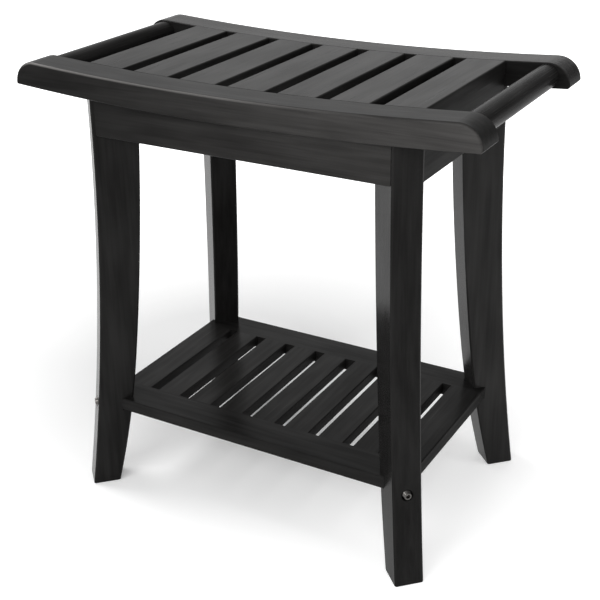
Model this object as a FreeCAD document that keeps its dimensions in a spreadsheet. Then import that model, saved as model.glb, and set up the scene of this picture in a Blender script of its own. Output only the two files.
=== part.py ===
"""Slatted shower bench: saddle seat with two handle bars, four sabre legs and a slatted shelf.

The frame: +X along the seat, +Y to the back, +Z up, origin on the floor under the middle of the seat.
"""
import FreeCAD
import Part
import Sketcher
import math
import os
import re
from FreeCAD import Placement, Rotation, Vector

# Driving dimensions in millimetres
SIZES = {
    "bench_len": 470,          # seat, nose to nose
    "bench_wid": 245,          # seat, front to back
    "bench_ht": 448.4,         # floor to the raised seat ends
    "seat_sag": 7.4,           # how far the middle of the seat lies below its ends
    "rail_wid": 34,            # long seat rails
    "rail_ht": 24,
    "nose_run": 23,            # length of the rounded rail ends
    "rail_ease": 2.5,          # rounding of the upper outer arrises
    "rail_bevel": 0.8,         # bevel of the other arrises
    "tip_bevel": 2,            # bevel of the lower corner of a nose
    "hand_gap": 62.4,          # nose tip to the slatted field
    "slat_thk": 12,            # seat slats
    "slot_wid": 12,
    "slat_ease": 1.5,
    "slat_tenon_side": 6.4,    # shoulder at each side of a slat tenon
    "slat_tenon_thk": 6,
    "slat_tenon_len": 9,
    "bar_dia": 22.8,           # round handle bars
    "bar_inset": 22.8,         # bar axis in from the nose tip
    "bar_drop": 12.9,          # bar axis below the seat ends
    "bar_tenon_dia": 14,
    "bar_tenon_len": 12,
    "leg_wid": 28.4,           # legs, across the diagonal
    "foot_depth": 28.3,        # along the diagonal, at the floor
    "leg_top_depth": 45.6,     # along the diagonal, under the seat
    "leg_flare": 32.8,         # how far the outer face sweeps out from seat to floor
    "knee_ht": 150,            # height where the inner curve tightens
    "knee_run": 28.5,          # inner curve, floor to knee, along the diagonal
    "knee_radius": 1150,       # radius of the inner curve below the knee
    "leg_past_slats": 5.3,     # foot centre beyond the slatted field
    "leg_in_rail": 5.2,        # foot centre inside the rail's outer face
    "leg_bevel": 1.4,
    "foot_bevel": 1,
    "pin_dia": 12,             # round stub tenon on the leg top
    "pin_len": 9,
    "pin_edge": 4,             # wood left between the stub tenon and the rail's inner face
    "apron_ht": 34.2,          # long aprons, below the middle of the rails
    "apron_thk": 14,
    "apron_reveal": 3.2,       # how far the leg corners stand proud of the aprons
    "apron_ease": 1.5,
    "apron_tenon_up": 7,       # apron tenons above the lower edge
    "apron_tenon_ht": 20,
    "apron_tenon_thk": 7,
    "apron_tenon_len": 8,
    "shelf_top": 99.3,         # floor to the top of the shelf
    "shelf_thk": 13.4,         # shelf rails and end boards
    "shelf_in": 6.3,           # shelf sides inside the foot centres
    "shelf_rail_wid": 34,
    "shelf_end_wid": 33.3,
    "shelf_slat_thk": 10.5,
    "shelf_slot": 10.7,
    "shelf_end_slot": 9,       # the narrower slots beside the end boards
    "shelf_bevel": 1,
    "shelf_tenon_side": 5,     # shoulder at each side of a shelf tenon
    "shelf_tenon_thk": 4.5,
    "shelf_tenon_len": 8,
    "bolt_dia": 6,             # hex socket bolts that hold the shelf
    "bolt_in": 20,             # bolt length inside the shelf
    "bolt_head_dia": 10.5,
    "bolt_head_ht": 3.3,
    "bolt_head_slope": 1.9,    # how far the head narrows towards its top
    "bolt_hex": 4,             # socket, across flats
    "bolt_hex_deep": 2,
    "spot_deep": 1.2,          # flat seat for the bolt head, below the leg's face
    "spot_clear": 0.6,         # room around the bolt head
    "bolt_clear": 0.2,         # room around the bolt shank
    "glue_gap": 0.1,           # room around each tenon
    "tip_gap": 0.5,            # room beyond the end of each tenon
    "saw_over": 6,             # how far a blank or a cut runs past the finished piece
}
SLATS = 7
SHELF_SLATS = 7

# The two ends and the four corners, with the signs and the turn that lead to them
ENDS = tuple(zip(("left", "right"), (-1, 1)))
CORNERS = [(f"{face}_{side}", sign_x, sign_y, math.degrees(math.atan2(sign_y, sign_x)))
           for face, sign_y in zip(("front", "back"), (-1, 1)) for side, sign_x in ENDS]

# How near two coordinates count as the same
TOUCH = 0.01

# Sizes that follow from the driving ones
FITS = {
    "half_len": "bench_len / 2",
    "half_wid": "bench_wid / 2",
    "seat_mid": "bench_ht - seat_sag",
    "crest_x": "half_len - nose_run",
    "seat_rad": "(crest_x^2 + seat_sag^2) / (2 * seat_sag)",
    "seat_axis": "seat_mid + seat_rad",
    "under_axis": "seat_axis - rail_ht",
    "rail_mid": "half_wid - rail_wid / 2",
    "rail_in": "half_wid - rail_wid",
    "slat_edge": "half_len - hand_gap",
    "slat_wid": f"(2 * slat_edge - {SLATS - 1} * slot_wid) / {SLATS}",
    "slat_pitch": "slat_wid + slot_wid",
    "slat_tenon_wid": "slat_wid - 2 * slat_tenon_side",
    "bar_x": "half_len - bar_inset",
    "bar_z": "bench_ht - bar_drop",
    "foot_x": "slat_edge + leg_past_slats",
    "foot_y": "half_wid - leg_in_rail",
    "leg_half": "leg_wid / 2",
    "leg_blank": "under_axis - sqrt(seat_rad^2 - foot_x^2) + saw_over",
    "leg_out": "foot_depth / 2 - leg_flare",
    "leg_inner": "leg_out - leg_top_depth",
    "leg_out_rad": "(leg_blank^2 + leg_flare^2) / (2 * leg_flare)",
    "pin_off": "(rail_in + pin_edge + pin_dia / 2 - foot_y) * sqrt(2)",
    "pin_x": "foot_x + pin_off / sqrt(2)",
    "pin_y": "foot_y + pin_off / sqrt(2)",
    "pin_top": "under_axis - sqrt(seat_rad^2 - pin_x^2) + pin_len",
    "apron_low": "seat_mid - rail_ht - apron_ht",
    "apron_tenon_low": "apron_low + apron_tenon_up",
    "apron_off": "leg_out - apron_reveal",
    "long_face": "foot_y + (apron_off + leg_half) / sqrt(2)",
    "long_end": "foot_x + (apron_off - leg_half) / sqrt(2)",
    "side_face": "foot_x + (apron_off + leg_half) / sqrt(2)",
    "side_end": "foot_y + (apron_off - leg_half) / sqrt(2)",
    "side_in": "side_face - apron_thk",
    "last_x": f"{SLATS // 2} * slat_pitch",
    "last_sin": "last_x / seat_rad",
    "last_cos": "sqrt(1 - last_sin^2)",
    "last_under": "seat_axis - seat_rad * last_cos - slat_thk / last_cos",
    "side_top_out": "last_under + (side_face - last_x) * last_sin / last_cos",
    "side_top_in": "last_under + (side_in - last_x) * last_sin / last_cos",
    "side_notch": "under_axis - sqrt(seat_rad^2 - side_in^2)",
    "tenon_off": "apron_off - apron_thk / sqrt(2)",
    "mortise_floor": "leg_half - apron_tenon_len - tip_gap",
    "shelf_half_len": "foot_x - shelf_in",
    "shelf_half_wid": "foot_y - shelf_in",
    "shelf_low": "shelf_top - shelf_thk",
    "shelf_cut": "leg_wid / sqrt(2)",
    "shelf_slat_end": "shelf_half_wid - shelf_rail_wid",
    "shelf_span": "2 * (shelf_half_len - shelf_end_wid)",
    "shelf_slat_wid": f"(shelf_span - 2 * shelf_end_slot - {SHELF_SLATS - 1} * shelf_slot) / {SHELF_SLATS}",
    "shelf_pitch": "shelf_slat_wid + shelf_slot",
    "shelf_end_x": "shelf_half_len - shelf_end_wid / 2",
    "dado_off": "-shelf_in * sqrt(2) - leg_half",
    "bolt_z": "shelf_top - shelf_thk / 2",
    "bolt_face": "leg_out + leg_out_rad - sqrt(leg_out_rad^2 - (leg_blank - bolt_z)^2)",
    "bolt_seat": "bolt_face - spot_deep",
    "bolt_len": "bolt_seat - dado_off + bolt_in",
    "shelf_bore_x": "shelf_half_len - shelf_cut / 2",
    "shelf_bore_y": "shelf_half_wid - shelf_cut / 2",
}

doc = FreeCAD.newDocument("shower_bench")
dims = doc.addObject("Spreadsheet::Sheet", "Dims")
fits = doc.addObject("Spreadsheet::Sheet", "Fits")
OWNER = {**dict.fromkeys(SIZES, "Dims"), **dict.fromkeys(FITS, "Fits")}


def expr(formula):
    """Give each named size in a formula the sheet that holds it."""
    return re.sub(r"[a-z]+(_[a-z]+)+", lambda word: f"{OWNER[word[0]]}.{word[0]}", formula)


for row, (alias, size) in enumerate(SIZES.items(), 1):
    dims.set(f"A{row}", str(size))
    dims.setAlias(f"A{row}", alias)
doc.recompute()
for row, (alias, formula) in enumerate(FITS.items(), 1):
    fits.setAlias(f"A{row}", alias)
for row, (alias, formula) in enumerate(FITS.items(), 1):
    fits.set(f"A{row}", "=" + expr(formula).replace("Fits.", ""))
doc.recompute()
slate = doc.addObject("Spreadsheet::Sheet", "Slate")


def size_of(formula):
    """The number that a formula of named sizes gives."""
    slate.set("A1", "=" + expr(formula))
    slate.recompute()
    return float(slate.get("A1"))


# Sketches
def new_body(label):
    """An empty body that carries the name of its piece."""
    body = doc.addObject("PartDesign::Body", label)
    body.Label = label
    return body


def new_sketch(body, name, role, offset="0"):
    """A sketch on one of the body's own planes, moved along the plane's normal."""
    sketch = body.newObject("Sketcher::SketchObject", name)
    plane = next(item for item in body.Origin.OriginFeatures if item.Role == role)
    sketch.AttachmentSupport = [(plane, "")]
    sketch.MapMode = "FlatFace"
    sketch.setExpression("AttachmentOffset.Base.z", expr(offset))
    return sketch


def hold(sketch, kind, places, formula):
    """Add one dimension to a sketch and bind it to a formula."""
    index = sketch.addConstraint(Sketcher.Constraint(kind, *places, size_of(formula)))
    sketch.setExpression(f"Constraints[{index}]", expr(formula))


def pin(sketch, edge, end, x, y):
    """Hold one point of an edge at a place given by two formulas."""
    hold(sketch, "DistanceX", (edge, end), x)
    hold(sketch, "DistanceY", (edge, end), y)


def outline(sketch, corners):
    """A closed outline of straight edges through corners given as pairs of formulas."""
    first = sketch.GeometryCount
    count = len(corners)
    spots = [Vector(size_of(x), size_of(y), 0) for x, y in corners]
    for k in range(count):
        sketch.addGeometry(Part.LineSegment(spots[k], spots[(k + 1) % count]))
    for k in range(count):
        sketch.addConstraint(Sketcher.Constraint("Coincident", first + k, 2, first + (k + 1) % count, 1))
    for k, (x, y) in enumerate(corners):
        pin(sketch, first + k, 1, x, y)


def box_outline(sketch, left, right, low, high):
    """A rectangle between two x and two y formulas."""
    outline(sketch, [(left, low), (right, low), (right, high), (left, high)])


def circle(sketch, x, y, diameter):
    """A circle at a place and of a diameter given by formulas."""
    centre = Vector(size_of(x), size_of(y), 0)
    edge = sketch.addGeometry(Part.Circle(centre, Vector(0, 0, 1), size_of(diameter) / 2))
    pin(sketch, edge, 3, x, y)
    hold(sketch, "Diameter", (edge,), diameter)


def arc(sketch, centre, start, end):
    """An arc about a centre, counterclockwise from start to end."""
    ring = Part.Circle(centre, Vector(0, 0, 1), centre.distanceToPoint(start))
    angles = [math.atan2(spot.y - centre.y, spot.x - centre.x) for spot in (start, end)]
    return sketch.addGeometry(Part.ArcOfCircle(ring, *angles))


# Features
def pad(body, sketch, length, both=True):
    """Material of one length, to both sides of its sketch or along its normal."""
    feature = body.newObject("PartDesign::Pad", sketch.Name + "_pad")
    feature.Profile = sketch
    feature.SideType = "Symmetric" if both else "One side"
    feature.setExpression("Length", expr(length))
    doc.recompute()
    return feature


def pocket(body, sketch, both=False, reverse=False, length=None):
    """A cut through everything, or of one length, that has to take some wood away."""
    before = body.Tip.Shape.Volume
    feature = body.newObject("PartDesign::Pocket", sketch.Name + "_cut")
    feature.Profile = sketch
    feature.SideType = "Symmetric" if both else "One side"
    feature.Reversed = reverse
    if length is None:
        feature.Type = "ThroughAll"
    else:
        feature.setExpression("Length", expr(length))
    doc.recompute()
    if not body.Tip.Shape.Volume < before:
        raise RuntimeError(sketch.Name + " cuts nothing")


def ease(body, size, wanted, kind="Fillet"):
    """Round, or bevel, those edges of a body that pass a test."""
    base = body.Tip
    names = [f"Edge{k}" for k, edge in enumerate(base.Shape.Edges, 1) if wanted(edge)]
    feature = body.newObject("PartDesign::" + kind, f"{body.Name}_{kind}")
    feature.Base = (base, names)
    feature.setExpression("Radius" if kind == "Fillet" else "Size", expr(size))
    doc.recompute()


def place(item, x, y, z, turn=0, axis=Vector(0, 0, 1)):
    """Put a piece at a place given by formulas, turned by an angle about an axis."""
    item.Placement = Placement(Vector(0, 0, 0), Rotation(axis, turn))
    for name, formula in zip("xyz", (x, y, z)):
        item.setExpression(f"Placement.Base.{name}", expr(formula))


def flat_at(edge, name, level):
    """True where a whole edge lies at one coordinate."""
    ends = [getattr(edge.BoundBox, name + side) for side in ("Min", "Max")]
    return all(abs(end - level) < TOUCH for end in ends)


def boolean(kind, label, base, tool):
    """A Part boolean of two pieces."""
    item = doc.addObject(kind, label)
    item.Label = label
    item.Base = base
    item.Tool = tool
    return item


def rod(name, radius, height, turn):
    """A cylinder whose axis is turned from +Z."""
    item = doc.addObject("Part::Cylinder", name)
    item.setExpression("Radius", expr(radius))
    item.setExpression("Height", expr(height))
    item.Placement = Placement(Vector(0, 0, 0), turn)
    return item


# The curve under the seat that the legs and long aprons are cut to
under_curve = rod("under_curve", "seat_rad", "bench_wid", Rotation(Vector(1, 0, 0), -90))
place(under_curve, "0", "-half_wid", "under_axis", -90, Vector(1, 0, 0))

nodes = []


# Long seat rails: saddle curve above and below, a rounded nose at each end
def rail_profile(sketch):
    """Side view of a seat rail: two parallel arcs closed by two tangent nose arcs."""
    radius = size_of("seat_rad")
    reach = size_of("half_len")
    start = size_of("crest_x")
    above = Vector(0, size_of("seat_axis"), 0)
    below = Vector(0, size_of("under_axis"), 0)
    crest = Vector(start, above.y - math.sqrt(radius ** 2 - start ** 2), 0)
    tip = Vector(reach, below.y - math.sqrt(radius ** 2 - reach ** 2), 0)
    normal = (crest - above).normalize()
    chord = tip - crest
    nose = crest + normal * (chord.Length ** 2 / (2 * chord.dot(normal)))
    mirrored = [Vector(-spot.x, spot.y, 0) for spot in (crest, tip, nose)]
    top = arc(sketch, above, mirrored[0], crest)
    right = arc(sketch, nose, tip, crest)
    left = arc(sketch, mirrored[2], mirrored[0], mirrored[1])
    bottom = arc(sketch, below, mirrored[1], tip)
    sketch.addConstraint(Sketcher.Constraint("Tangent", top, 2, right, 2))
    sketch.addConstraint(Sketcher.Constraint("Tangent", top, 1, left, 1))
    sketch.addConstraint(Sketcher.Constraint("Coincident", left, 2, bottom, 1))
    sketch.addConstraint(Sketcher.Constraint("Coincident", bottom, 2, right, 1))
    pin(sketch, top, 3, "0", "seat_axis")
    pin(sketch, bottom, 3, "0", "under_axis")
    hold(sketch, "Radius", (top,), "seat_rad")
    hold(sketch, "Radius", (bottom,), "seat_rad")
    hold(sketch, "DistanceX", (top, 2), "crest_x")
    hold(sketch, "DistanceX", (top, 1), "-crest_x")
    hold(sketch, "DistanceX", (bottom, 2), "half_len")
    hold(sketch, "DistanceX", (bottom, 1), "-half_len")


def slat_mortise(sketch, step):
    """The tilted mortise of one seat slat, seen from the side."""
    tilt = f"({step} * slat_pitch / seat_rad)"
    flat = f"sqrt(1 - {tilt}^2)"
    x = f"{step} * slat_pitch + slat_thk / 2 * {tilt}"
    z = f"seat_axis - (seat_rad + slat_thk / 2) * {flat}"
    half_wid = "(slat_tenon_wid / 2 + glue_gap)"
    half_thk = "(slat_tenon_thk / 2 + glue_gap)"
    signs = ((-1, -1), (1, -1), (1, 1), (-1, 1))
    outline(sketch, [(f"{x} + {u} * {half_wid} * {flat} - {w} * {half_thk} * {tilt}",
                      f"{z} + {u} * {half_wid} * {tilt} + {w} * {half_thk} * {flat}") for u, w in signs])


def seat_rail(label, y, turn):
    """One long rail, with its inner face at +Y before it is turned into place."""
    body = new_body(label)
    side = new_sketch(body, label + "_side", "XZ_Plane")
    rail_profile(side)
    pad(body, side, "rail_wid")
    half = size_of("rail_wid / 2")
    reach = size_of("half_len")
    ease(body, "tip_bevel", lambda edge: flat_at(edge, "X", reach) or flat_at(edge, "X", -reach), "Chamfer")
    low = size_of("under_axis - sqrt(seat_rad^2 - half_len^2) + tip_bevel")
    ease(body, "rail_ease", lambda edge: flat_at(edge, "Y", -half) and edge.BoundBox.ZMax > low)
    ease(body, "rail_bevel", lambda edge: flat_at(edge, "Y", half) or
         flat_at(edge, "Y", -half) and edge.BoundBox.XLength > reach, "Chamfer")
    mortises = new_sketch(body, label + "_mortises", "XZ_Plane",
                          "slat_tenon_len + tip_gap - rail_wid / 2")
    for step in range(-(SLATS // 2), SLATS // 2 + 1):
        slat_mortise(mortises, step)
    pocket(body, mortises)
    bores = new_sketch(body, label + "_bores", "XZ_Plane", "bar_tenon_len + tip_gap - rail_wid / 2")
    pins = new_sketch(body, label + "_pins", "XY_Plane", "pin_top + tip_gap")
    for sign in (-1, 1):
        circle(bores, f"{sign} * bar_x", "bar_z", "bar_tenon_dia + 2 * glue_gap")
        circle(pins, f"{sign} * pin_x", "rail_mid - pin_y", "pin_dia + 2 * glue_gap")
    pocket(body, bores)
    pocket(body, pins)
    place(body, "0", y, "0", turn)
    nodes.append(body)


seat_rail("front_rail", "-rail_mid", 0)
seat_rail("back_rail", "rail_mid", 180)


# Slats of the seat and the shelf: a board with a stub tenon at each end
def slat(label, wid, thk, end, arris, tenon_wid, tenon_thk, tenon_len):
    """One slat, its top face at its own origin."""
    body = new_body(label)
    section = new_sketch(body, label + "_section", "XZ_Plane")
    box_outline(section, f"-{wid} / 2", f"{wid} / 2", f"-{thk}", "0")
    pad(body, section, f"2 * {end}")
    ease(body, arris[1], lambda edge: flat_at(edge, "Z", 0) and edge.BoundBox.XLength < TOUCH, arris[0])
    tenon = new_sketch(body, label + "_tenon", "XZ_Plane")
    box_outline(tenon, f"-({tenon_wid}) / 2", f"({tenon_wid}) / 2",
                f"-({thk} + {tenon_thk}) / 2", f"-({thk} - {tenon_thk}) / 2")
    pad(body, tenon, f"2 * ({end} + {tenon_len})")
    nodes.append(body)
    return body


for step in range(-(SLATS // 2), SLATS // 2 + 1):
    board = slat(f"seat_slat_{step + SLATS // 2 + 1}", "slat_wid", "slat_thk", "rail_in",
                 ("Fillet", "slat_ease"), "slat_tenon_wid", "slat_tenon_thk", "slat_tenon_len")
    place(board, f"{step} * slat_pitch", "0",
          f"seat_axis - seat_rad * sqrt(1 - ({step} * slat_pitch / seat_rad)^2)", 1, Vector(0, -1, 0))
    board.setExpression("Placement.Rotation.Angle", expr(f"asin({step} * slat_pitch / seat_rad)"))


# Handle bars: round stock with a turned tenon at each end
def handle_bar(label, sign):
    """One bar between the seat rails."""
    body = new_body(label)
    for name, diameter, end in (("round", "bar_dia", "rail_in"),
                                ("tenon", "bar_tenon_dia", "rail_in + bar_tenon_len")):
        section = new_sketch(body, f"{label}_{name}", "XZ_Plane")
        circle(section, "0", "0", diameter)
        pad(body, section, f"2 * ({end})")
    place(body, f"{sign} * bar_x", "0", "bar_z")
    nodes.append(body)


for side, sign in ENDS:
    handle_bar("handle_bar_" + side, sign)


# Aprons: boards mitred to the legs' side faces, with a tenon square to each mitre
def apron(label, end, face, top_out, top_in, turn, notch=None):
    """One apron, with its outer face at -Y before it is turned into place."""
    body = new_body(label)
    back = f"(apron_thk - {face})"
    section = new_sketch(body, label + "_section", "YZ_Plane")
    outline(section, [(f"-{face}", "apron_low"), (back, "apron_low"), (back, top_in), (f"-{face}", top_out)])
    pad(body, section, f"2 * {end}")
    low = size_of("apron_low")
    ease(body, "apron_ease", lambda edge: flat_at(edge, "Z", low) and edge.BoundBox.YLength < TOUCH)
    mitres = new_sketch(body, label + "_mitres", "XY_Plane")
    for sign in (-1, 1):
        outline(mitres, [(f"{sign} * {end}", f"-{face}"),
                         (f"{sign} * ({end} + saw_over)", f"-{face}"),
                         (f"{sign} * ({end} + saw_over)", f"{back} + saw_over"),
                         (f"{sign} * ({end} - apron_thk - saw_over)", f"{back} + saw_over")])
    pocket(body, mitres, reverse=True)
    if notch:
        corners = new_sketch(body, label + "_corners", "XY_Plane", notch)
        for sign in (-1, 1):
            outline(corners, [(f"{sign} * rail_in", f"-{face} - saw_over"),
                              (f"{sign} * ({end} + saw_over)", f"-{face} - saw_over"),
                              (f"{sign} * ({end} + saw_over)", f"{back} + saw_over"),
                              (f"{sign} * rail_in", f"{back} + saw_over")])
        pocket(body, corners, reverse=True)
    tenons = new_sketch(body, label + "_tenons", "XY_Plane", "apron_tenon_low")
    half = "apron_tenon_thk / 2"
    for sign in (-1, 1):
        spots = (("-saw_over", "-1"), ("apron_tenon_len", "-1"), ("apron_tenon_len", "1"), ("-saw_over", "1"))
        outline(tenons, [(f"{sign} * ({end} - apron_thk / 2 + ({out} - {side} * {half}) / sqrt(2))",
                          f"apron_thk / 2 - {face} + ({out} + {side} * {half}) / sqrt(2)")
                         for out, side in spots])
    pad(body, tenons, "apron_tenon_ht", both=False)
    place(body, "0", "0", "0", turn)
    return body


for label, turn in zip(("front_apron", "back_apron"), (0, 180)):
    board = apron(label + "_board", "long_end", "long_face", "seat_mid", "seat_mid", turn)
    nodes.append(boolean("Part::Cut", label, board, under_curve))
for label, turn in zip(("right_apron", "left_apron"), (90, 270)):
    nodes.append(apron(label, "side_end", "side_face", "side_top_out", "side_top_in", turn, "side_notch"))


# Sabre legs: tapered curve in the diagonal plane, notched for the shelf, mortised for the aprons
def leg_profile(sketch):
    """Side view of a leg along its diagonal: one outer arc, two inner arcs that meet at the knee."""
    foot = size_of("foot_depth / 2")
    high = size_of("leg_blank")
    heel = Vector(-foot, 0, 0)
    toe = Vector(foot, 0, 0)
    outer = Vector(size_of("leg_out"), high, 0)
    inner = Vector(size_of("leg_inner"), high, 0)
    knee = Vector(size_of("-foot_depth / 2 - knee_run"), size_of("knee_ht"), 0)
    chord = knee - heel
    across = Vector(chord.y, -chord.x, 0).normalize()
    low_rad = size_of("knee_radius")
    low = (heel + knee) * 0.5 + across * math.sqrt(low_rad ** 2 - chord.Length ** 2 / 4)
    toward = (low - knee).normalize()
    rise = inner - knee
    upper = knee + toward * (rise.Length ** 2 / (2 * rise.dot(toward)))
    sole = sketch.addGeometry(Part.LineSegment(heel, toe))
    front = arc(sketch, outer + Vector(size_of("leg_out_rad"), 0, 0), outer, toe)
    top = sketch.addGeometry(Part.LineSegment(outer, inner))
    thigh = arc(sketch, upper, inner, knee)
    shin = arc(sketch, low, knee, heel)
    joins = ((sole, 2, front, 2), (front, 1, top, 1), (top, 2, thigh, 1), (shin, 2, sole, 1))
    for join in joins:
        sketch.addConstraint(Sketcher.Constraint("Coincident", *join))
    sketch.addConstraint(Sketcher.Constraint("Tangent", thigh, 2, shin, 1))
    pin(sketch, sole, 1, "-foot_depth / 2", "0")
    pin(sketch, sole, 2, "foot_depth / 2", "0")
    pin(sketch, top, 1, "leg_out", "leg_blank")
    pin(sketch, top, 2, "leg_inner", "leg_blank")
    pin(sketch, shin, 1, "-foot_depth / 2 - knee_run", "knee_ht")
    hold(sketch, "Radius", (shin,), "knee_radius")
    hold(sketch, "DistanceY", (front, 3), "leg_blank")


def leg(label, sign_x, sign_y, turn):
    """One leg; +X points outward along its diagonal before it is turned into place."""
    body = new_body(label + "_blank")
    side = new_sketch(body, label + "_side", "XZ_Plane")
    leg_profile(side)
    pad(body, side, "leg_wid")
    half = size_of("leg_half")
    ease(body, "leg_bevel", lambda edge: edge.BoundBox.ZLength > TOUCH and
         (flat_at(edge, "Y", half) or flat_at(edge, "Y", -half)), "Chamfer")
    ease(body, "foot_bevel", lambda edge: flat_at(edge, "Z", 0), "Chamfer")
    dado = new_sketch(body, label + "_dado", "XZ_Plane")
    box_outline(dado, "leg_inner - saw_over", "dado_off", "shelf_low - glue_gap", "shelf_top + glue_gap")
    pocket(body, dado, both=True)
    spot = new_sketch(body, label + "_spot", "YZ_Plane", "bolt_seat")
    circle(spot, "0", "bolt_z", "bolt_head_dia + 2 * spot_clear")
    pocket(body, spot, reverse=True)
    bore = new_sketch(body, label + "_bore", "YZ_Plane", "bolt_seat")
    circle(bore, "0", "bolt_z", "bolt_dia + 2 * bolt_clear")
    pocket(body, bore)
    for name, offset, reverse in (("far", "-mortise_floor", False), ("near", "mortise_floor", True)):
        mortise = new_sketch(body, f"{label}_{name}", "XZ_Plane", offset)
        grown = "(apron_tenon_thk / 2 + glue_gap)"
        box_outline(mortise, f"tenon_off - {grown}", f"tenon_off + {grown}",
                    "apron_tenon_low - glue_gap", "apron_tenon_low + apron_tenon_ht + glue_gap")
        pocket(body, mortise, reverse=reverse)
    place(body, f"{sign_x} * foot_x", f"{sign_y} * foot_y", "0", turn)
    trimmed = boolean("Part::Cut", label + "_trimmed", body, under_curve)
    stub = rod(label + "_pin", "pin_dia / 2", "pin_len + saw_over", Rotation())
    place(stub, f"{sign_x} * pin_x", f"{sign_y} * pin_y", "pin_top - pin_len - saw_over")
    nodes.append(boolean("Part::Fuse", label, trimmed, stub))


for corner, sign_x, sign_y, turn in CORNERS:
    leg("leg_" + corner, sign_x, sign_y, turn)


# Shelf: two long rails with cut corners, two end boards and the slats between them
def shelf_rail(label, turn):
    """One long shelf rail, with its outer face at -Y before it is turned into place."""
    body = new_body(label + "_board")
    plan = new_sketch(body, label + "_plan", "XY_Plane", "shelf_low")
    outline(plan, [("-shelf_half_len", "-shelf_slat_end"),
                   ("-shelf_half_len", "shelf_cut - shelf_half_wid"),
                   ("shelf_cut - shelf_half_len", "-shelf_half_wid"),
                   ("shelf_half_len - shelf_cut", "-shelf_half_wid"),
                   ("shelf_half_len", "shelf_cut - shelf_half_wid"),
                   ("shelf_half_len", "-shelf_slat_end")])
    pad(body, plan, "shelf_thk", both=False)
    face = size_of("-shelf_half_wid")
    reach = size_of("shelf_half_len")
    ease(body, "shelf_bevel", lambda edge: edge.BoundBox.ZLength < TOUCH and
         (flat_at(edge, "Y", face) or flat_at(edge, "X", reach) or flat_at(edge, "X", -reach)), "Chamfer")
    mortises = new_sketch(body, label + "_mortises", "XZ_Plane", "shelf_slat_end + shelf_tenon_len + tip_gap")
    boards = [(f"{step} * shelf_pitch", "shelf_slat_wid", "shelf_slat_thk")
              for step in range(-(SHELF_SLATS // 2), SHELF_SLATS // 2 + 1)]
    boards += [(f"{sign} * shelf_end_x", "shelf_end_wid", "shelf_thk") for sign in (-1, 1)]
    for x, wid, thk in boards:
        half = f"({wid} / 2 - shelf_tenon_side + glue_gap)"
        grown = "(shelf_tenon_thk / 2 + glue_gap)"
        box_outline(mortises, f"{x} - {half}", f"{x} + {half}",
                    f"shelf_top - {thk} / 2 - {grown}", f"shelf_top - {thk} / 2 + {grown}")
    pocket(body, mortises)
    place(body, "0", "0", "0", turn)
    drilled = body
    for sign in (-1, 1):
        side = 1 if turn else -1
        inward = Rotation(Vector(0, 0, 1), Vector(-sign, -side, 0))
        drill = rod(f"{label}_drill", "bolt_dia / 2 + glue_gap", "bolt_in + tip_gap", inward)
        for name, formula in zip("xy", (f"{sign} * shelf_bore_x", f"{side} * shelf_bore_y")):
            drill.setExpression(f"Placement.Base.{name}", expr(formula))
        drill.setExpression("Placement.Base.z", expr("bolt_z"))
        drilled = boolean("Part::Cut", label if sign > 0 else label + "_one_bore", drilled, drill)
    nodes.append(drilled)


shelf_rail("shelf_front_rail", 0)
shelf_rail("shelf_back_rail", 180)
for step in range(-(SHELF_SLATS // 2), SHELF_SLATS // 2 + 1):
    board = slat(f"shelf_slat_{step + SHELF_SLATS // 2 + 1}", "shelf_slat_wid", "shelf_slat_thk",
                 "shelf_slat_end", ("Chamfer", "shelf_bevel"), "shelf_slat_wid - 2 * shelf_tenon_side",
                 "shelf_tenon_thk", "shelf_tenon_len")
    place(board, f"{step} * shelf_pitch", "0", "shelf_top")
for side, sign in ENDS:
    board = slat("shelf_end_" + side, "shelf_end_wid", "shelf_thk",
                 "shelf_slat_end", ("Chamfer", "shelf_bevel"), "shelf_end_wid - 2 * shelf_tenon_side",
                 "shelf_tenon_thk", "shelf_tenon_len")
    place(board, f"{sign} * shelf_end_x", "0", "shelf_top")


# Shelf bolts: one through each leg into a cut corner of the shelf
def bolt(label, sign_x, sign_y, turn):
    """One bolt; its head's seat is at its own origin and +X points out of the leg."""
    body = new_body(label)
    half = new_sketch(body, label + "_half", "XZ_Plane")
    outline(half, [("-bolt_len", "0"), ("bolt_head_ht", "0"),
                   ("bolt_head_ht", "bolt_head_dia / 2 - bolt_head_slope"),
                   ("0", "bolt_head_dia / 2"), ("0", "bolt_dia / 2"), ("-bolt_len", "bolt_dia / 2")])
    turned = body.newObject("PartDesign::Revolution", label + "_turned")
    turned.Profile = half
    turned.ReferenceAxis = (half, ["H_Axis"])
    doc.recompute()
    socket = new_sketch(body, label + "_socket", "YZ_Plane", "bolt_head_ht")
    outline(socket, [(f"bolt_hex / sqrt(3) * cos({60 * k})", f"bolt_hex / sqrt(3) * sin({60 * k})")
                     for k in range(6)])
    pocket(body, socket, length="bolt_hex_deep")
    place(body, f"{sign_x} * (foot_x + bolt_seat / sqrt(2))", f"{sign_y} * (foot_y + bolt_seat / sqrt(2))",
          "bolt_z", turn)
    return body


bolts = doc.addObject("Part::Compound", "shelf_bolts")
bolts.Label = "shelf_bolts"
bolts.Links = [bolt("bolt_" + corner, *where) for corner, *where in CORNERS]
nodes.append(bolts)

# Check every object, then write one file for each piece
doc.removeObject(slate.Name)
doc.recompute()
for item in doc.Objects:
    if "Invalid" in item.State or "Error" in item.State:
        raise RuntimeError(item.Label + " failed: " + str(item.State))
for item in nodes:
    if item.Shape.isNull() or not item.Shape.isValid():
        raise RuntimeError(item.Label + " has no valid shape")
os.makedirs("parts", exist_ok=True)
for item in nodes:
    item.Shape.exportStep(f"parts/{item.Label}.step")
    print(item.Label, "solids", len(item.Shape.Solids), "volume", round(item.Shape.Volume))
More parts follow.
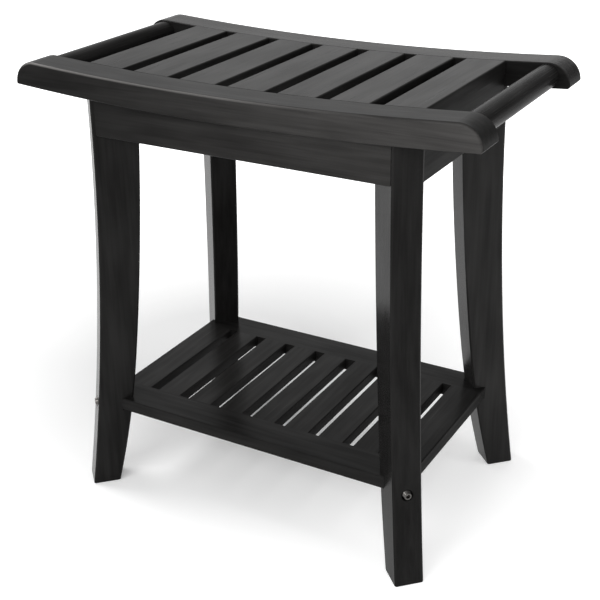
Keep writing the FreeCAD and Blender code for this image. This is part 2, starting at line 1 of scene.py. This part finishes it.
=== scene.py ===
# %% [markdown]
# # A stained bamboo shower bench
# The bench comes as thirty-one finished solids, one for each board, bar, leg and set of bolts. They
# could be drawn again here, but a second drawing never fits as well as the joiner's own. So this
# lesson leaves the shapes alone and gives them their looks: stained bamboo, zinc bolts, a white
# studio and the camera of the photograph.

import bpy
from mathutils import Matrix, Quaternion, Vector

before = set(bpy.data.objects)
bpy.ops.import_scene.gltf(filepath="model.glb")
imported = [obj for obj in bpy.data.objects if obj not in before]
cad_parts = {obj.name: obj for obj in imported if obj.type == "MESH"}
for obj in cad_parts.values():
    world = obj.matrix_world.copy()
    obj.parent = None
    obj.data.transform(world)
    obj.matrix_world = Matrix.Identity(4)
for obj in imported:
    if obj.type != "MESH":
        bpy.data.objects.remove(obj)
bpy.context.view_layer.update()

# %% [markdown]
# ## Shader maths that reads like maths
# A material is a small program, and a web of node links is a hard way to read one. The nodes could be
# joined by hand in the shader editor, but a script can be read, compared and run again. This wrapper
# holds one output of a node. Adding, multiplying or raising it adds a Math node, and `node` adds any
# other kind: its settings come first, then the values or links of its sockets.

# %% A wrapper for shader sockets
class Sock:
    """One output of a shader node."""

    def __init__(self, tree, out):
        self.tree = tree
        self.out = out

    def node(self, kind, settings=None, inputs=None, output=0):
        """Add any node to the same tree and give back one of its outputs."""
        made = self.tree.nodes.new(kind)
        for name, value in (settings or {}).items():
            setattr(made, name, value)
        for name, value in (inputs or {}).items():
            self.feed(made.inputs[name], value)
        return Sock(self.tree, made.outputs[output])

    def feed(self, socket, value):
        """Link a wrapped output to a socket, or set the socket to a plain value."""
        if isinstance(value, Sock):
            self.tree.links.new(value.out, socket)
        else:
            socket.default_value = value

    def math(self, operation, first, second):
        """One Math node on two values."""
        return self.node("ShaderNodeMath", {"operation": operation}, {0: first, 1: second})

    def __add__(self, other):
        return self.math("ADD", self, other)

    def __sub__(self, other):
        return self.math("SUBTRACT", self, other)

    def __mul__(self, other):
        return self.math("MULTIPLY", self, other)

    def __pow__(self, other):
        return self.math("POWER", self, other)

    def __rsub__(self, other):
        return self.math("SUBTRACT", other, self)

    def __rpow__(self, other):
        return self.math("POWER", other, self)

    __radd__ = __add__
    __rmul__ = __mul__


print("a socket can", [word for word in vars(Sock) if not word.startswith("_")])

# %% [markdown]
# ## Grain
# Bamboo boards are glued up from strips, and each strip is full of fine fibres that run its whole
# length. Under a near-black stain they show as faint light and dark streaks. A picture of a board
# could be wrapped round each piece, but it would show its seams. Noise that is stretched along one
# axis fills the whole solid with streaks, and on a board's end it turns into the specks of end grain
# by itself. It is used in three widths, for the fibres, the strips and clouds of stain, and each
# board starts it from a seed of its own.

# %% Draw out the grain
# Waves of noise in a metre, across the grain and along it, and the roughness of the noise
FIBRE = (900.0, 14.0, 0.55)
STRIP = (220.0, 12.0, 0.50)
CLOUD = (40.0, 12.0, 0.50)
SEED_REACH = 7.0
ALONG_SEAT, ACROSS_SEAT, UPRIGHT = 0, 1, 2


def streaks(place, along, kind):
    """Noise about zero, drawn out along one axis."""
    across_waves, along_waves, rough = kind
    stretch = [across_waves] * 3
    stretch[along] = along_waves
    seed = place.node("ShaderNodeObjectInfo", output="Random") * SEED_REACH
    shifted = place.node("ShaderNodeVectorMath", {"operation": "ADD"}, {0: place, 1: seed})
    lined = place.node("ShaderNodeMapping", None, {"Vector": shifted, "Scale": stretch})
    noise = place.node("ShaderNodeTexNoise", None, {"Vector": lined, "Scale": 1.0, "Roughness": rough})
    return noise - 0.5


widths = [round(1000 / across, 1) for across, _, _ in (FIBRE, STRIP, CLOUD)]
print("millimetres to a fibre, a strip and a cloud", widths)

# %% [markdown]
# ## Painted light on the stain
# On the bench the stain looks lighter in places, and here that light is painted into the colour: a
# painted sheen on upper faces, a painted sheen on the front that grows towards the right, and a painted
# highlight along the upper front edge towards the left. These places could be painted on the mesh, but
# then each new board would have to be painted too. The way a face looks, its normal, and its place
# along the seat find them instead, and every finish says how much of each it has.

# %% Find the thin stain
# Places along the seat, in metres, between which the painted sheen on the front and the painted
# highlight on the upper front edge fade in
FRONT_SHEEN_START, FRONT_SHEEN_END = -0.1875, 0.2292
EDGE_HIGHLIGHT_START, EDGE_HIGHLIGHT_END = 0.15, -0.1833
# Front times up, for a face that leans back by half a right angle
EDGE_LEAN = 0.5


def part_of(vector, axis):
    """The X, Y or Z part of a vector."""
    return vector.node("ShaderNodeSeparateXYZ", None, {"Vector": vector}, axis)


def fade(value, start, end):
    """0 up to the start, 1 from the end on, and a straight line between them."""
    return value.node("ShaderNodeMapRange", None, {"Value": value, "From Min": start, "From Max": end})


def add_painted_light(place, normal, top_sheen_painted, front_sheen_painted, edge_highlight_painted):
    """How much painted light lightens the colour: a painted sheen on upper faces and on the front, and
    a painted highlight along the upper front edge.
    """
    right = part_of(place, "X")
    up = part_of(normal, "Z")
    front = fade(part_of(normal, "Y"), 0.0, -1.0)
    edge = fade(front * up, 0.0, EDGE_LEAN) ** 2.0
    # Painted sheen on front faces, growing towards the right
    on_front = front * fade(right, FRONT_SHEEN_START, FRONT_SHEEN_END) * front_sheen_painted
    # Painted highlight along the upper front edge, growing towards the left
    on_edge = edge * fade(right, EDGE_HIGHLIGHT_START, EDGE_HIGHLIGHT_END) * edge_highlight_painted
    # Painted sheen on upper faces, added to the painted light on the front and the edge
    return fade(up, 0.0, 1.0) * top_sheen_painted + on_front + on_edge


print("the front is rubbed from", FRONT_SHEEN_START, "on, the edge is worn from", EDGE_HIGHLIGHT_START, "on")

# %% [markdown]
# ## Stained bamboo
# The bench is stained nearly black and lacquered to a satin sheen. One dark colour alone would look
# like plastic. So the streaks make the stain lighter and darker, the clouds make the coat of lacquer
# thicker and thinner, and the fibres roughen the surface a little. The sawn sides of the slats stay
# matt.

# %% Stain and lacquer
STAIN = (0.0120, 0.0116, 0.0113)
FIBRE_SHADE, STRIP_SHADE, CLOUD_SHADE = 0.5, 0.8, 0.8
FIBRE_MATT, STRIP_MATT = 0.12, 0.06
FIBRE_BUMP, FIBRE_DEPTH = 0.12, 0.0004
LACQUER, LACQUER_ROUGHNESS = 0.15, 0.3
LACQUER_THIN, LACQUER_FULL = -0.25, 0.75
CLOUD_PULL = 1.5
SATIN = 0.045


def new_material(name):
    """A material with its shader node and the place of each surface point, in metres."""
    material = bpy.data.materials.new(name)
    material.use_nodes = True
    tree = material.node_tree
    place = Sock(tree, tree.nodes.new("ShaderNodeTexCoord").outputs["Object"])
    return material, tree.nodes["Principled BSDF"], place


def bamboo(name, along, tone, roughness, top_sheen_painted=0.0, front_sheen_painted=0.0, edge_highlight_painted=0.0, matt=0.0, shine=SATIN):
    """Bamboo with its grain along one axis.

    A tone of 1 is the stain's own colour. Three weights say how much painted light lightens it: a
    painted sheen on upper faces, a painted sheen on the front and a painted highlight along the upper
    front edge. matt roughens the sawn sides, and shine is the strength of the mirror image in the
    surface.
    """
    material, shader, place = new_material(name)
    normal = place.node("ShaderNodeTexCoord", output="Normal")
    side = part_of(normal, "X")
    fibre, strip, cloud = (streaks(place, along, kind) for kind in (FIBRE, STRIP, CLOUD))
    uneven = 1.0 + fibre * FIBRE_SHADE + strip * STRIP_SHADE + cloud * CLOUD_SHADE
    shade = (add_painted_light(place, normal, top_sheen_painted, front_sheen_painted, edge_highlight_painted) + tone) * uneven
    colour = place.node("ShaderNodeVectorMath", {"operation": "SCALE"}, {0: STAIN, "Scale": shade})
    dull = fibre * FIBRE_MATT + strip * STRIP_MATT + side * side * matt + roughness
    coat = fade(cloud * CLOUD_PULL + strip, LACQUER_THIN, LACQUER_FULL) * LACQUER
    bumps = place.node("ShaderNodeBump", None,
                       {"Strength": FIBRE_BUMP, "Distance": FIBRE_DEPTH, "Height": fibre})
    place.feed(shader.inputs["Base Color"], colour)
    place.feed(shader.inputs["Roughness"], dull)
    place.feed(shader.inputs["Coat Weight"], coat)
    place.feed(shader.inputs["Normal"], bumps)
    shader.inputs["Coat Roughness"].default_value = LACQUER_ROUGHNESS
    shader.inputs["Specular IOR Level"].default_value = shine
    return material


print("stain", STAIN, "under lacquer of up to", LACQUER)

# %% [markdown]
# ## A finish for each kind of board
# All the boards share one stain, but their finishes differ in tone, roughness and painted light. The
# seat's boards carry the most painted sheen on their tops, the front rail and apron a painted sheen on
# the front, and the front rail a painted highlight on its upper edge. The front apron's lower tone is
# painted shade under the rail. The shelf gets less painted sheen as painted shade under the seat, and
# the legs get none, so both look darker. The right back leg is a lighter copy of the legs with more
# sheen: painted light on that one leg. One finish for all would be shorter to write, but the bench
# would look cast in one piece.

# %% Mix the finishes
# The seat's finishes carry painted light: painted sheen on tops and fronts, and on the front rail a
# painted highlight on the upper front edge
RAIL = bamboo("bamboo_rail", ALONG_SEAT, tone=0.80, roughness=0.34, top_sheen_painted=0.4, front_sheen_painted=3.3, edge_highlight_painted=12.0)
# The front apron's lower tone is painted shade under the front rail
APRON = bamboo("bamboo_apron", ALONG_SEAT, tone=0.70, roughness=0.34, front_sheen_painted=2.4)
PLAIN_RAIL = bamboo("bamboo_plain_rail", ALONG_SEAT, tone=0.90, roughness=0.25, top_sheen_painted=1.1)
SLAT = bamboo("bamboo_slat", ACROSS_SEAT, tone=0.80, roughness=0.30, top_sheen_painted=0.9, matt=0.19)
BAR = bamboo("bamboo_bar", ACROSS_SEAT, tone=0.90, roughness=0.26, top_sheen_painted=0.4, shine=0.03)
LEG = bamboo("bamboo_leg", UPRIGHT, tone=0.85, roughness=0.19, shine=0.06)
# A lighter copy of the leg finish with more sheen: painted light on the right back leg
PAINTED_LIT_LEG = bamboo("bamboo_leg_painted_lit", UPRIGHT, tone=1.40, roughness=0.19, shine=0.12)
SHELF_RAIL = bamboo("bamboo_shelf_rail", ALONG_SEAT, tone=0.90, roughness=0.24)
# The shelf's slats get less painted sheen than the seat's, as painted shade under the seat
SHELF_SLAT = bamboo("bamboo_shelf_slat", ACROSS_SEAT, tone=0.80, roughness=0.24, top_sheen_painted=0.3, matt=0.27)
print("nodes in the rail's finish", len(RAIL.node_tree.nodes))

# %% [markdown]
# ## Zinc bolts
# The shelf hangs on four socket bolts with dull but smooth heads. A flat grey would make them look
# painted. A dark metal with a low roughness gives them small sharp glints instead, and a little noise
# in the roughness keeps these from looking printed.

# %% Make the bolt metal
ZINC = (0.125, 0.120, 0.115, 1)
SCUFFS_IN_A_METRE = 900.0
SMOOTH, SCUFFED = 0.10, 0.12

BOLT, bolt_shader, bolt_place = new_material("zinc_bolt")
scuffs = bolt_place.node("ShaderNodeTexNoise", None, {"Vector": bolt_place, "Scale": SCUFFS_IN_A_METRE})
bolt_place.feed(bolt_shader.inputs["Roughness"], SMOOTH + scuffs * SCUFFED)
bolt_shader.inputs["Base Color"].default_value = ZINC
bolt_shader.inputs["Metallic"].default_value = 1.0
print("bolt roughness from", SMOOTH, "to", SMOOTH + SCUFFED)

# %% [markdown]
# ## Which finish goes where
# A joiner runs the grain along the length of every piece: rails along the seat, slats and bars across
# it, legs upward. A list with all thirty-one names would be long and easy to get wrong. The first key
# below that starts a piece's name picks its finish, so closer names stand before wider ones.

# %% Dress the pieces
FINISH = {
    "front_rail": RAIL,
    "front_apron": APRON,
    "back_": PLAIN_RAIL,
    "seat_slat": SLAT,
    "left_apron": SLAT,
    "right_apron": SLAT,
    "handle_bar": BAR,
    "leg_back_right": PAINTED_LIT_LEG,
    "leg": LEG,
    "shelf_bolts": BOLT,
    "shelf_front": SHELF_RAIL,
    "shelf_back": SHELF_RAIL,
    "shelf": SHELF_SLAT,
}
for name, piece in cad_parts.items():
    piece.data.materials.clear()
    piece.data.materials.append(next(FINISH[start] for start in FINISH if name.startswith(start)))
print("dressed", {finish.name: finish.users for finish in FINISH.values()})

# %% [markdown]
# ## The floor
# The photograph stands on endless white with a soft shadow. More light would whiten the floor, but it
# would bleach the bench as well. Light Path tells the rays that show a background from those that
# carry light, so the floor can glow for the camera alone. The glow is missing round the middle of the
# shadow and grows away from it, so it paints a darker pool on the floor there: a painted shadow on top
# of the real one, which fades out. In the lacquer the floor glows only a little.

# %% Lay the floor
FLOOR_SIZE = 40.0
FLOOR_WHITE = (0.9, 0.9, 0.9, 1)
FLOOR_ROUGHNESS = 0.9
FLOOR_GLOW = 0.2
# Middle and reach, in metres, of the painted shadow: the floor's glow for the camera is missing near
# this spot
PAINTED_SHADOW_MIDDLE = (-0.22, 0.17, 0)
PAINTED_SHADOW_START, PAINTED_SHADOW_END = 0.1333, 0.8


def rays(sock, *kinds):
    """1 for rays of the named kinds and 0 for all others."""
    found = [sock.node("ShaderNodeLightPath", output=f"Is {kind} Ray") for kind in kinds]
    return found[0] if len(found) == 1 else sock.math("MAXIMUM", *found)


bpy.ops.mesh.primitive_plane_add(size=FLOOR_SIZE, location=(0, 0, 0))
floor = bpy.context.object
floor.name = "floor"
paper, paper_shader, paper_place = new_material("white_floor")
away = paper_place.node("ShaderNodeVectorMath", {"operation": "DISTANCE"},
                        {0: paper_place, 1: PAINTED_SHADOW_MIDDLE}, output="Value")
to_camera = rays(paper_place, "Camera") * fade(away, PAINTED_SHADOW_START, PAINTED_SHADOW_END)
to_gloss = rays(paper_place, "Glossy", "Transmission") * FLOOR_GLOW
paper_place.feed(paper_shader.inputs["Emission Color"], to_camera + to_gloss)
paper_shader.inputs["Emission Strength"].default_value = 1.0
paper_shader.inputs["Base Color"].default_value = FLOOR_WHITE
paper_shader.inputs["Roughness"].default_value = FLOOR_ROUGHNESS
paper_shader.inputs["Specular IOR Level"].default_value = 0.0
floor.data.materials.append(paper)
print("floor", [round(v, 1) for v in floor.dimensions])

# %% [markdown]
# ## The sky
# Round a dark lacquered bench the sky does two jobs: it is seen in the lacquer, and it fills the
# shadows. A sky of one strength would do both alike. Here the camera sees white. The lacquer mirrors
# white on the left and a grey curtain on the right, which keeps the right sides dark. The light that
# falls on the bench is plain.

# %% Hang the sky
SKY_LIGHT = 0.4
CURTAIN = 0.2
CURTAIN_EDGE = 0.25

world = bpy.data.worlds.new("studio")
bpy.context.scene.world = world
world.use_nodes = True
sky_tree = world.node_tree
sky_place = Sock(sky_tree, sky_tree.nodes.new("ShaderNodeTexCoord").outputs["Generated"])
mirrored = fade(part_of(sky_place, "X"), CURTAIN_EDGE, -CURTAIN_EDGE) * (1.0 - CURTAIN) + CURTAIN
gloss = rays(sky_place, "Glossy", "Transmission")
unseen = gloss * mirrored + (1.0 - gloss) * SKY_LIGHT
sky = sky_place.math("MAXIMUM", rays(sky_place, "Camera"), unseen)
sky_place.feed(sky_tree.nodes["Background"].inputs["Color"], sky)
print("sky light", SKY_LIGHT, "and curtain", CURTAIN)

# %% [markdown]
# ## Soft light
# Large soft boxes stand in for the studio lamps, because a small lamp would draw hard shadows. The
# strongest stands in front and lights the long face. Weaker ones fill the sides and the back, and
# a small one, high on the left, lights the upper front edge. Together they show a white card as
# white, so each colour comes out about as it is written.

# %% Set up the lamps
# Place in metres, width, height and power in watts
LAMPS = {
    "front": ((-0.4, -2.2, 1.3), 1.4, 1.4, 26.0),
    "camera_side": ((0.9, -2.0, 1.2), 1.4, 1.4, 10.0),
    "right": ((2.1, 0.0, 1.2), 1.4, 1.4, 12.0),
    "left": ((-2.2, 0.3, 1.2), 1.4, 1.4, 10.0),
    "back": ((0.0, 2.6, 0.5), 0.8, 0.8, 7.0),
    "edge": ((-1.5, 0.0, 2.1), 0.9, 0.5, 14.0),
}
BENCH_MIDDLE = Vector((0, 0, 0.3))


def soft_box(name, spot, wide, tall, power):
    """A rectangular lamp at a spot, turned towards the middle of the bench."""
    data = bpy.data.lights.new(name, "AREA")
    data.shape = "RECTANGLE"
    data.size = wide
    data.size_y = tall
    data.energy = power
    lamp = bpy.data.objects.new(name, data)
    bpy.context.scene.collection.objects.link(lamp)
    lamp.location = spot
    lamp.rotation_euler = (BENCH_MIDDLE - Vector(spot)).to_track_quat("-Z", "Y").to_euler()


for name, settings in LAMPS.items():
    soft_box(name, *settings)
print("lamps", {light.name: light.energy for light in bpy.data.lights})

# %% [markdown]
# ## The camera
# A camera could be moved by eye until the picture looks right. This one was found by fitting the seams
# of the seat, the shelf and the feet to the photograph, which also gave the bench its proportions. It
# stands a little over a metre off at the right front, above the seat, and leans by about a degree. The
# Standard view shows every colour as the shaders give it.

# %% Set up the camera
CAMERA_SPOT = Vector((0.5362, -0.9237, 0.7056))
CAMERA_AIM = Vector((0.0005, 0.0003, 0.2003))
CAMERA_ROLL = -0.0159
CAMERA_LENS = 69.46
SENSOR_WIDTH = 36.0

camera_data = bpy.data.cameras.new("camera")
camera_data.sensor_width = SENSOR_WIDTH
camera_data.lens = CAMERA_LENS
camera = bpy.data.objects.new("camera", camera_data)
bpy.context.scene.collection.objects.link(camera)
camera.location = CAMERA_SPOT
level = (CAMERA_AIM - CAMERA_SPOT).to_track_quat("-Z", "Y")
camera.rotation_euler = (level @ Quaternion((0, 0, 1), CAMERA_ROLL)).to_euler()
bpy.context.scene.camera = camera
bpy.context.scene.view_settings.view_transform = "Standard"
print("the camera stands off by", round((CAMERA_AIM - CAMERA_SPOT).length, 3))

# %% [markdown]
